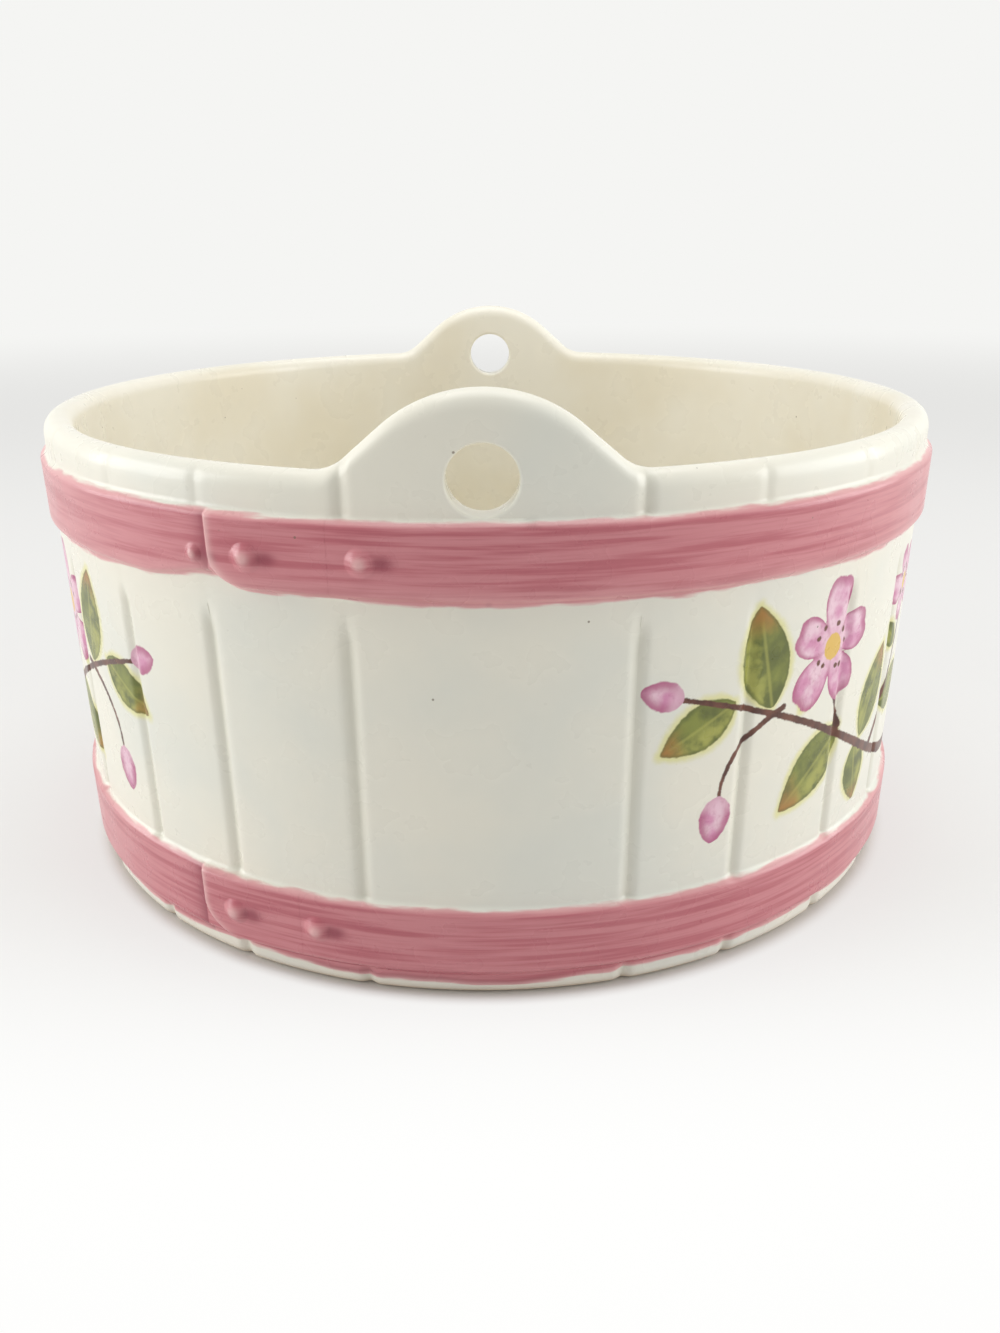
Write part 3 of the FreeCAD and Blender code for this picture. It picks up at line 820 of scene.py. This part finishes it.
def lay_stem(field, across, up, stem):
    corners, thick, thin = stem
    share = np.linspace(0, 1, STEM_STEPS)[:, None]
    weights = ((1 - share) ** 3, 3 * share * (1 - share) ** 2, 3 * share**2 * (1 - share), share**3)
    line = sum(weight * np.array(corner, float) for weight, corner in zip(weights, corners))
    for k in range(len(line) - 1):
        start, step = line[k], line[k + 1] - line[k]
        reach = ((across - start[0]) * step[0] + (up - start[1]) * step[1]) / (step @ step)
        reach = np.clip(reach, 0, 1)
        gap = np.hypot(across - start[0] - reach * step[0], up - start[1] - reach * step[1])
        run = (k + reach) / (len(line) - 1)
        laid(field, (thick * (1 - run) + thin * run) / 2 - gap, 0, run)


def lay_flower(petals, heart, across, up, flower):
    centre, reach, turn = flower
    away = np.hypot(across - centre[0], up - centre[1])
    sector = 2 * math.pi / PETALS
    heading = np.arctan2(up - centre[1], across - centre[0]) - math.radians(turn)
    petal = np.round(heading / sector)
    swing = heading - petal * sector
    uneven = 1 + PETAL_UNEVENNESS * np.sin(PETAL_PHASE * petal + turn)
    edge = reach * uneven * np.cos(swing * QUARTER / (sector / 2 * PETAL_SPREAD)) ** PETAL_POWER
    edge = edge - NOTCH_SHARE * reach * np.exp(-((swing / NOTCH_WIDTH) ** 2))
    laid(petals, edge - away, np.abs(swing) / (sector / 2), away / reach)
    laid(heart, EYE_SHARE * reach - away, 0, 0)
    for k in range(STAMENS):
        sway, pull = [math.sin(phase * k) for phase in STAMEN_PHASES]
        angle = 2 * math.pi * (k + STAMEN_SWAY * sway) / STAMENS
        stretch = STAMEN_SHARE * reach * (1 + STAMEN_UNEVENNESS * pull)
        dot = (centre[0] + stretch * math.cos(angle), centre[1] + stretch * math.sin(angle))
        gap = np.hypot(across - dot[0], up - dot[1])
        laid(heart, STAMEN_RADIUS - gap, 1, 0)


def brush_fields(azimuth, level):
    """(depth inside a stroke, side, run) of leaves, stems, petals and flower hearts."""
    fields = {title: np.zeros(level.shape + (3,)) for title in ("leaf", "stem", "petal", "heart")}
    for middle, flip in SPRAYS:
        across = wrapped(azimuth - math.radians(middle)) * SPRAY_RADIUS * flip + 0 * level
        up = level - SPRAY_LEVEL
        for leaf in LEAVES:
            lay_oval(fields["leaf"], across, up, leaf, LEAF_BLUNTNESS)
        for stem in STEMS:
            lay_stem(fields["stem"], across, up, stem)
        for flower in FLOWERS:
            lay_flower(fields["petal"], fields["heart"], across, up, flower)
        for bud in BUDS:
            lay_oval(fields["petal"], across, up, bud, BUD_BLUNTNESS)
    return fields


def is_brushed(start, end):
    reach = SPRAY_HALF_WIDTH / SPRAY_RADIUS
    middle, half = (start + end) / 2, (end - start) / 2
    return any(abs(wrapped(middle - math.radians(spray))) < reach + half for spray, _ in SPRAYS)


# Materials

def tint(red, green, blue):
    """A colour from its 0 to 255 display values."""
    shares = [value / 255 for value in (red, green, blue)]
    linear = [v / 12.92 if v < 0.04045 else ((v + 0.055) / 1.055) ** 2.4 for v in shares]
    return (*linear, 1.0)


CREAM = tint(240, 237, 222)
CREAM_COOL = tint(231, 232, 221)
# Cream in the grooves: glaze pooled there, and painted shade
CREAM_GROOVE_POOL_AND_SHADE = tint(218, 216, 200)
CREAM_INSIDE = tint(239, 235, 221)
CREAM_INSIDE_WARM = tint(233, 226, 206)
SPECK = tint(120, 105, 85)
CLAY = tint(222, 205, 180)
CLAY_DARK = tint(196, 176, 150)
ROSE = tint(195, 110, 119)
ROSE_DEEP = tint(179, 90, 102)
ROSE_PALE = tint(211, 136, 142)
ROSE_THIN_AND_SHEEN = tint(236, 188, 186)
ROSE_POOL_AND_SHADOW = tint(150, 62, 78)
HALO = tint(226, 222, 140)
LEAF = tint(128, 136, 50)
LEAF_DARK = tint(82, 92, 24)
LEAF_LIGHT = tint(176, 176, 84)
OCHRE = tint(168, 112, 40)
BARK = tint(112, 66, 48)
BARK_DARK = tint(78, 40, 28)
PETAL = tint(214, 140, 178)
PETAL_PALE = tint(238, 202, 216)
PETAL_DEEP = tint(172, 66, 116)
HEART = tint(226, 186, 90)
STAMEN = tint(104, 58, 34)
PER_MM = 1 / MM

# Noises: features a millimetre level and upright, and detail
CLOUD = (0.03, 0.03, 3.0)
GRAIN = (0.9, 0.9, 4.0)
DULLNESS = (0.12, 0.12, 3.0)
RIPPLE = (0.1, 0.1, 1.0)
ORANGE_PEEL = (0.8, 0.8, 1.0)
STREAK = (0.03, 0.8, 4.0)
FINE_STREAK = (0.09, 2.2, 3.0)
RAGGED_EDGE = (0.12, 0.9, 3.0)
CALM = (0.012, 0.08, 2.0)
WASH = (0.25, 0.25, 4.0)
BRISTLE = (0.9, 0.9, 3.0)
CLAY_GRAIN = (0.9, 0.9, 5.0)
CLAY_STAIN = (0.08, 0.08, 3.0)

# Shares of one colour or height in another, and the glaze's gloss and relief
GROOVE_POOL_AND_SHADE_TINT = 0.6
SPECK_TINT = 0.75
SPECK_CELLS = 0.23
SPECK_SIZE = 0.07
SPECK_EDGE = 0.03
STREAK_RAGGEDNESS = 1.6
BRUSH_RAGGEDNESS = 0.7
THIN_AND_SHEEN_TINT = 0.75
GLAZE_ROUGHNESS = 0.25
DULL_ROUGHNESS = 0.14
DRY_ROUGHNESS = 0.5
PEEL_HEIGHT = 0.05
GLAZE_BUMP = {"Strength": 0.15, "Distance": 0.15 * MM}
CLAY_BUMP = {"Strength": 0.6, "Distance": 0.2 * MM}


def feed(tree, socket, value):
    """Gives a socket its value, or links it to the socket that gives it."""
    if isinstance(value, bpy.types.NodeSocket):
        tree.links.new(value, socket)
    else:
        socket.default_value = value


def add_node(tree, kind, inputs=(), **settings):
    node = tree.nodes.new(kind)
    for title, value in settings.items():
        setattr(node, title, value)
    for key, value in dict(inputs).items():
        feed(tree, node.inputs[key], value)
    return node


class Finish:
    """A node material in the making, round its own shader."""

    def __init__(self, name):
        self.material = bpy.data.materials.new(name)
        self.material.use_nodes = True
        self.tree = self.material.node_tree
        self.shader = self.tree.nodes["Principled BSDF"]
        self.place = self.node("ShaderNodeTexCoord").outputs["Object"]

    def node(self, kind, inputs=(), **settings):
        return add_node(self.tree, kind, inputs, **settings)

    def give(self, title, value):
        feed(self.tree, self.shader.inputs[title], value)

    def math(self, operation, *values):
        return self.node("ShaderNodeMath", enumerate(values), operation=operation).outputs[0]

    def times(self, *values):
        return self.math("MULTIPLY", *values)

    def plus(self, *values):
        return self.math("ADD", *values)

    def minus(self, *values):
        return self.math("SUBTRACT", *values)

    def bump(self, height, settings):
        relief = self.node("ShaderNodeBump", {"Height": height, **settings})
        self.give("Normal", relief.outputs[0])

    def mix(self, share, first, second):
        inputs = {0: share, 6: first, 7: second}
        return self.node("ShaderNodeMix", inputs, data_type="RGBA").outputs[2]

    def step(self, value, low, high, most=1.0):
        """0 up to low, then smoothly up to most at high."""
        inputs = {0: value, 1: low, 2: high, 3: 0.0, 4: most}
        return self.node("ShaderNodeMapRange", inputs, interpolation_type="SMOOTHSTEP").outputs[0]

    def noise(self, kind):
        """Noise from 0 to 1, with so many features a millimetre in x, y and in z."""
        across, up, detail = kind
        scale = (across * PER_MM, across * PER_MM, up * PER_MM)
        place = self.node("ShaderNodeVectorMath", {0: self.place, 1: scale}, operation="MULTIPLY")
        inputs = {"Vector": place.outputs[0], "Scale": 1.0, "Detail": detail}
        return self.node("ShaderNodeTexNoise", inputs).outputs[0]

    def field(self, name):
        """The three parts of a mesh's vector field."""
        read = self.node("ShaderNodeAttribute", attribute_name=name).outputs["Vector"]
        return self.node("ShaderNodeSeparateXYZ", {0: read}).outputs[:3]

    def specks(self):
        """Small dark pinholes, in few cells of a fine pattern."""
        inputs = {"Vector": self.place, "Scale": SPECK_CELLS * PER_MM}
        cells = self.node("ShaderNodeTexVoronoi", inputs)
        parts = self.node("ShaderNodeSeparateColor", {0: cells.outputs["Color"]}).outputs
        size = self.step(parts[0], 0.8, 1.0, SPECK_SIZE)
        return self.step(self.minus(size, cells.outputs["Distance"]), 0.0, SPECK_EDGE)


def glaze(name, hooped=False, brushed=False):
    """The cream glaze, with the pink of the hoops or brushwork under it."""
    finish = Finish(name)
    inside, groove, dry = finish.field("zone")
    cloud = finish.step(finish.noise(CLOUD), 0.35, 0.7)
    colour = finish.mix(cloud, CREAM, CREAM_COOL)
    warm = finish.mix(cloud, CREAM_INSIDE, CREAM_INSIDE_WARM)
    colour = finish.mix(inside, colour, warm)
    # Grooves tinted darker: glaze pooled in them, and painted shade
    colour = finish.mix(finish.times(groove, GROOVE_POOL_AND_SHADE_TINT), colour, CREAM_GROOVE_POOL_AND_SHADE)
    if hooped:
        colour = rose(finish, colour)
    if brushed:
        colour = brushwork(finish, colour)
    specks = finish.specks()
    colour = finish.mix(finish.times(specks, SPECK_TINT), colour, SPECK)
    clay = finish.mix(finish.noise(GRAIN), CLAY, CLAY_DARK)
    finish.give("Base Color", finish.mix(dry, colour, clay))
    dull = finish.step(finish.noise(DULLNESS), 0.3, 0.8, DULL_ROUGHNESS)
    rough = finish.plus(finish.plus(GLAZE_ROUGHNESS, dull), finish.times(dry, DRY_ROUGHNESS))
    finish.give("Roughness", rough)
    peel = finish.times(finish.noise(ORANGE_PEEL), PEEL_HEIGHT)
    height = finish.minus(finish.plus(finish.noise(RIPPLE), peel), specks)
    finish.bump(height, GLAZE_BUMP)
    return finish.material


def rose(finish, colour):
    """The hoops' pink: level brush streaks, paler where the paint runs thin and under painted sheen
    and highlights, darker in pools and painted shadows.
    """
    depth, tone, thin = finish.field("paint")
    streak = finish.noise(STREAK)
    fine = finish.noise(FINE_STREAK)
    paint = finish.mix(finish.step(streak, 0.42, 0.62), ROSE_PALE, ROSE)
    calm = finish.step(finish.noise(CALM), 0.35, 0.6, 0.75)
    dark = finish.times(finish.step(streak, 0.5, 0.74), finish.minus(1.0, calm))
    paint = finish.mix(dark, paint, ROSE_DEEP)
    paint = finish.mix(finish.step(fine, 0.45, 0.75, 0.3), paint, ROSE_DEEP)
    paint = finish.mix(finish.step(fine, 0.5, 0.25, 0.3), paint, ROSE_PALE)
    # Tone darkens the pink for paint pools, smears and painted shadows beside the rivets; thin paint,
    # painted sheen and painted highlights turn it paler
    paint = finish.mix(finish.step(tone, 0.0, 1.0, 0.9), paint, ROSE_POOL_AND_SHADOW)
    paint = finish.mix(finish.times(thin, THIN_AND_SHEEN_TINT), paint, ROSE_THIN_AND_SHEEN)
    shift = finish.times(finish.minus(finish.noise(RAGGED_EDGE), 0.5), STREAK_RAGGEDNESS)
    cover = finish.step(finish.plus(depth, shift), -0.1, 0.5)
    return finish.mix(cover, colour, paint)


def brushwork(finish, colour):
    """Leaves with a pale halo, stems, petals and flower hearts, in that order."""
    wash = finish.noise(WASH)
    bristle = finish.noise(BRISTLE)
    ragged = finish.times(finish.minus(bristle, 0.5), BRUSH_RAGGEDNESS)

    def depth_of(stroke):
        return finish.plus(finish.minus(stroke, BARE_REACH), ragged)

    leaf, side, run = finish.field("leaf")
    leaf = depth_of(leaf)
    halo = finish.step(finish.plus(leaf, finish.times(wash, 1.2)), -1.4, 0.6, 0.75)
    colour = finish.mix(halo, colour, HALO)
    green = finish.mix(finish.step(wash, 0.3, 0.7), LEAF_DARK, LEAF)
    lit = finish.times(finish.step(side, -0.2, 0.5), finish.step(wash, 0.35, 0.6))
    green = finish.mix(finish.times(lit, 0.7), green, LEAF_LIGHT)
    vein = finish.step(finish.math("ABSOLUTE", side), 0.12, 0.0, 0.5)
    green = finish.mix(vein, green, LEAF_LIGHT)
    tip = finish.step(finish.plus(run, finish.times(wash, 0.4)), 0.85, 1.2)
    green = finish.mix(tip, green, OCHRE)
    green = finish.mix(finish.step(leaf, 1.1, 0.2, 0.6), green, LEAF_DARK)
    colour = finish.mix(finish.step(leaf, -0.2, 0.25, 0.96), colour, green)

    stem = depth_of(finish.field("stem")[0])
    bark = finish.mix(finish.step(wash, 0.35, 0.65), BARK, BARK_DARK)
    colour = finish.mix(finish.step(stem, -0.15, 0.2), colour, bark)

    petal, side, run = finish.field("petal")
    petal = depth_of(petal)
    pink = finish.mix(finish.step(wash, 0.35, 0.65), PETAL, PETAL_PALE)
    deep = finish.math("MAXIMUM", finish.step(petal, 2.6, 0.3), finish.step(side, 0.7, 1.0, 0.8))
    pink = finish.mix(finish.times(deep, 0.8), pink, PETAL_DEEP)
    pink = finish.mix(finish.step(run, 0.45, 0.15, 0.6), pink, PETAL_PALE)
    pink = finish.mix(finish.step(bristle, 0.5, 0.8, 0.35), pink, PETAL_DEEP)
    colour = finish.mix(finish.step(petal, -0.2, 0.25, 0.97), colour, pink)

    heart, is_stamen, _ = finish.field("heart")
    middle = finish.mix(is_stamen, HEART, STAMEN)
    return finish.mix(finish.step(depth_of(heart), -0.15, 0.2), colour, middle)


def bare_clay():
    """The dry foot: fired clay with a fine grain and pits."""
    finish = Finish("bare_clay")
    grain = finish.noise(CLAY_GRAIN)
    stain = finish.step(finish.noise(CLAY_STAIN), 0.4, 0.7)
    colour = finish.mix(grain, CLAY, CLAY_DARK)
    colour = finish.mix(finish.times(stain, 0.5), colour, CREAM_INSIDE_WARM)
    finish.give("Base Color", colour)
    finish.give("Roughness", finish.step(grain, 0.2, 0.9, 0.95))
    finish.bump(grain, CLAY_BUMP)
    return finish.material


# Assembly

def make_wall(plain, brushed):
    """All the staves. Returns every column's azimuth, for what lies on the wall."""
    middle = (LOWER_HIGH - HOOP_MARGIN, UPPER_LOW + HOOP_MARGIN, FINE_ROW)
    top = (UPPER_LOW, RIM_LEVEL, EAR_ROW)
    columns = []
    jobs = [("front_ear_stave", -1, 1, 0.0), ("back_ear_stave", HALF_TURN - 1, HALF_TURN + 1, math.pi)]
    for number in range(1, STAVES_PER_SIDE + 1):
        jobs.append((f"right_stave_{number:02d}", number, number + 1, None))
        jobs.append((f"left_stave_{number:02d}", -number - 1, -number, None))
    for node, first, last, ear in jobs:
        start, end = seam(first), seam(last)
        has_brush = is_brushed(start, end) and ear is None
        step = FINE_TURN if has_brush or ear is not None else COARSE_TURN
        rows = [top, middle] if has_brush else [top]
        material = brushed if has_brush else plain
        make_stave(node, start, end, rows, step, material, has_brush, ear)
        columns.append(stave_columns(start, end, step)[:-1])
    return np.sort(wrapped(np.concatenate(columns)))


def make_bottom(plain, clay):
    """The floor with its cove up the wall, and the dry ring underneath."""
    edge = FLOOR_TOP + COVE
    side = cone(edge) - WALL - SLUMP - CLEARANCE
    corner = cone(FLOOR_UNDER) - WALL - SLUMP - CLEARANCE
    section = [(0, FLOOR_UNDER), (side / 2, FLOOR_UNDER), (corner, FLOOR_UNDER)]
    for turn in np.linspace(0, QUARTER, COVE_STEPS):
        section.append((side - COVE * (1 - math.cos(turn)), edge - COVE * math.sin(turn)))
    section += [(side / 2, FLOOR_TOP), (0, FLOOR_TOP)]
    make_turned("tub_floor", section, 1.0, plain, "glazed")
    outer = cone(0.0) - WALL - SLUMP - CLEARANCE
    inner = outer - FOOT_WIDTH + SLUMP
    ring = [(inner, FOOT_ROUND), (inner + FOOT_ROUND, 0)]
    ring += [(outer, 0), (outer, FOOT_TOP), (inner, FOOT_TOP)]
    make_turned("foot_ring", ring, 0.0, clay, "dry")


# Stage, lamps and camera

FLOOR_COLOUR = tint(226, 225, 223)
FLOOR_WHITE = tint(255, 255, 254)
BACKDROP_COLOUR = tint(245, 245, 243)
WORLD_COLOUR = tint(255, 255, 255)
FLOOR_ROUGHNESS = 0.6
STAGE_RADIUS = 3000.0
STAGE_CORNERS = 96
FAR_START, FAR_END = 500.0, 1500.0
FRONT_START, FRONT_END, FRONT_FAR = 40.0, 140.0, 420.0
LIFT_SHARE = 0.6
CONTACT_START, CONTACT_END = 95.0, 99.0
WORLD_STRENGTH = 0.425
POT_MIDDLE = (0.0, 0.0, 55.0)
# Place, side and power of each soft lamp
SOFTBOXES = {
    "left_softbox": ((-720.0, -60.0, 225.0), 520.0, 3.0),
    "right_softbox": ((720.0, -60.0, 225.0), 520.0, 3.0),
    "top_softbox": ((0.0, -10.0, 760.0), 620.0, 2.85),
}

FRAME_HEIGHT_PIXELS = 1333
FOCAL_PIXELS = 1175.35
SENSOR_SIDE = 36.0
EYE = (2.6, -279.2, 135.0)
LOOK_DOWN = math.radians(20.67)
CAMERA_ROLL = -0.0053


def make_camera():
    data = bpy.data.cameras.new("photo_camera")
    data.sensor_width = SENSOR_SIDE
    data.lens = FOCAL_PIXELS / FRAME_HEIGHT_PIXELS * SENSOR_SIDE
    data.clip_start = MM
    data.clip_end = 3 * STAGE_RADIUS * MM
    camera = add_object("photo_camera", data)
    turn = Matrix.Rotation(QUARTER - LOOK_DOWN, 4, "X") @ Matrix.Rotation(CAMERA_ROLL, 4, "Z")
    camera.matrix_world = Matrix.Translation(Vector(EYE) * MM) @ turn
    bpy.context.scene.camera = camera


def make_lamps():
    for name, (place, side, power) in SOFTBOXES.items():
        data = bpy.data.lights.new(name, "AREA")
        data.shape = "SQUARE"
        data.size = side * MM
        data.energy = power
        lamp = add_object(name, data)
        aim = Vector(POT_MIDDLE) - Vector(place)
        turn = aim.to_track_quat("-Z", "Y").to_matrix().to_4x4()
        lamp.matrix_world = Matrix.Translation(Vector(place) * MM) @ turn


def make_stage():
    """A pale round floor that fades into white."""
    finish = Finish("pale_floor")
    finish.give("Base Color", FLOOR_COLOUR)
    finish.give("Roughness", FLOOR_ROUGHNESS)
    path = finish.node("ShaderNodeLightPath").outputs
    seen = finish.math("MAXIMUM", path["Is Camera Ray"], path["Is Glossy Ray"])
    away = finish.node("ShaderNodeVectorMath", {0: finish.place}, operation="LENGTH").outputs["Value"]
    ahead = finish.node("ShaderNodeSeparateXYZ", {0: finish.place}).outputs[1]
    far = finish.step(away, FAR_START * MM, FAR_END * MM, 1.0 - LIFT_SHARE)
    near = finish.step(away, FRONT_FAR * MM, FRONT_END * MM)
    front = finish.times(near, finish.step(ahead, -FRONT_START * MM, -FRONT_END * MM))
    lift = finish.math("MAXIMUM", far, finish.times(front, 1.0 - LIFT_SHARE))
    contact = finish.step(away, CONTACT_START * MM, CONTACT_END * MM)
    share = finish.times(seen, finish.times(contact, finish.plus(lift, LIFT_SHARE)))
    pale = finish.mix(front, BACKDROP_COLOUR, FLOOR_WHITE)
    glow = finish.node("ShaderNodeEmission", {"Color": pale, "Strength": 1.0})
    inputs = {0: share, 1: finish.shader.outputs[0], 2: glow.outputs[0]}
    mixed = finish.node("ShaderNodeMixShader", inputs).outputs[0]
    feed(finish.tree, finish.tree.nodes["Material Output"].inputs["Surface"], mixed)
    radius = STAGE_RADIUS * MM
    bpy.ops.mesh.primitive_circle_add(vertices=STAGE_CORNERS, radius=radius, fill_type="NGON")
    floor = bpy.context.object
    floor.name = "stage_floor"
    floor.data.materials.append(finish.material)


def make_world():
    """Even soft light from all round, which the camera sees as near white."""
    world = bpy.data.worlds.new("white_tent")
    bpy.context.scene.world = world
    world.use_nodes = True
    tree = world.node_tree
    tree.nodes.clear()
    inputs = {"Color": WORLD_COLOUR, "Strength": WORLD_STRENGTH}
    light = add_node(tree, "ShaderNodeBackground", inputs).outputs[0]
    seen = add_node(tree, "ShaderNodeBackground", {"Color": BACKDROP_COLOUR}).outputs[0]
    path = add_node(tree, "ShaderNodeLightPath").outputs
    rays = {0: path["Is Camera Ray"], 1: path["Is Glossy Ray"]}
    either = add_node(tree, "ShaderNodeMath", rays, operation="MAXIMUM").outputs[0]
    mixed = add_node(tree, "ShaderNodeMixShader", {0: either, 1: light, 2: seen})
    add_node(tree, "ShaderNodeOutputWorld", {"Surface": mixed.outputs[0]})


make_camera()
cream = glaze("cream_glaze")
painted = glaze("painted_glaze", brushed=True)
pink = glaze("pink_glaze", hooped=True)
wall_columns = make_wall(cream, painted)
make_bottom(cream, bare_clay())
for hoop in HOOPS:
    make_hoop(hoop, wall_columns, pink)
    make_lap(hoop, pink)
    make_rivets(hoop, pink)
make_stage()
make_lamps()
make_world()
bpy.context.scene.view_settings.view_transform = "Standard"
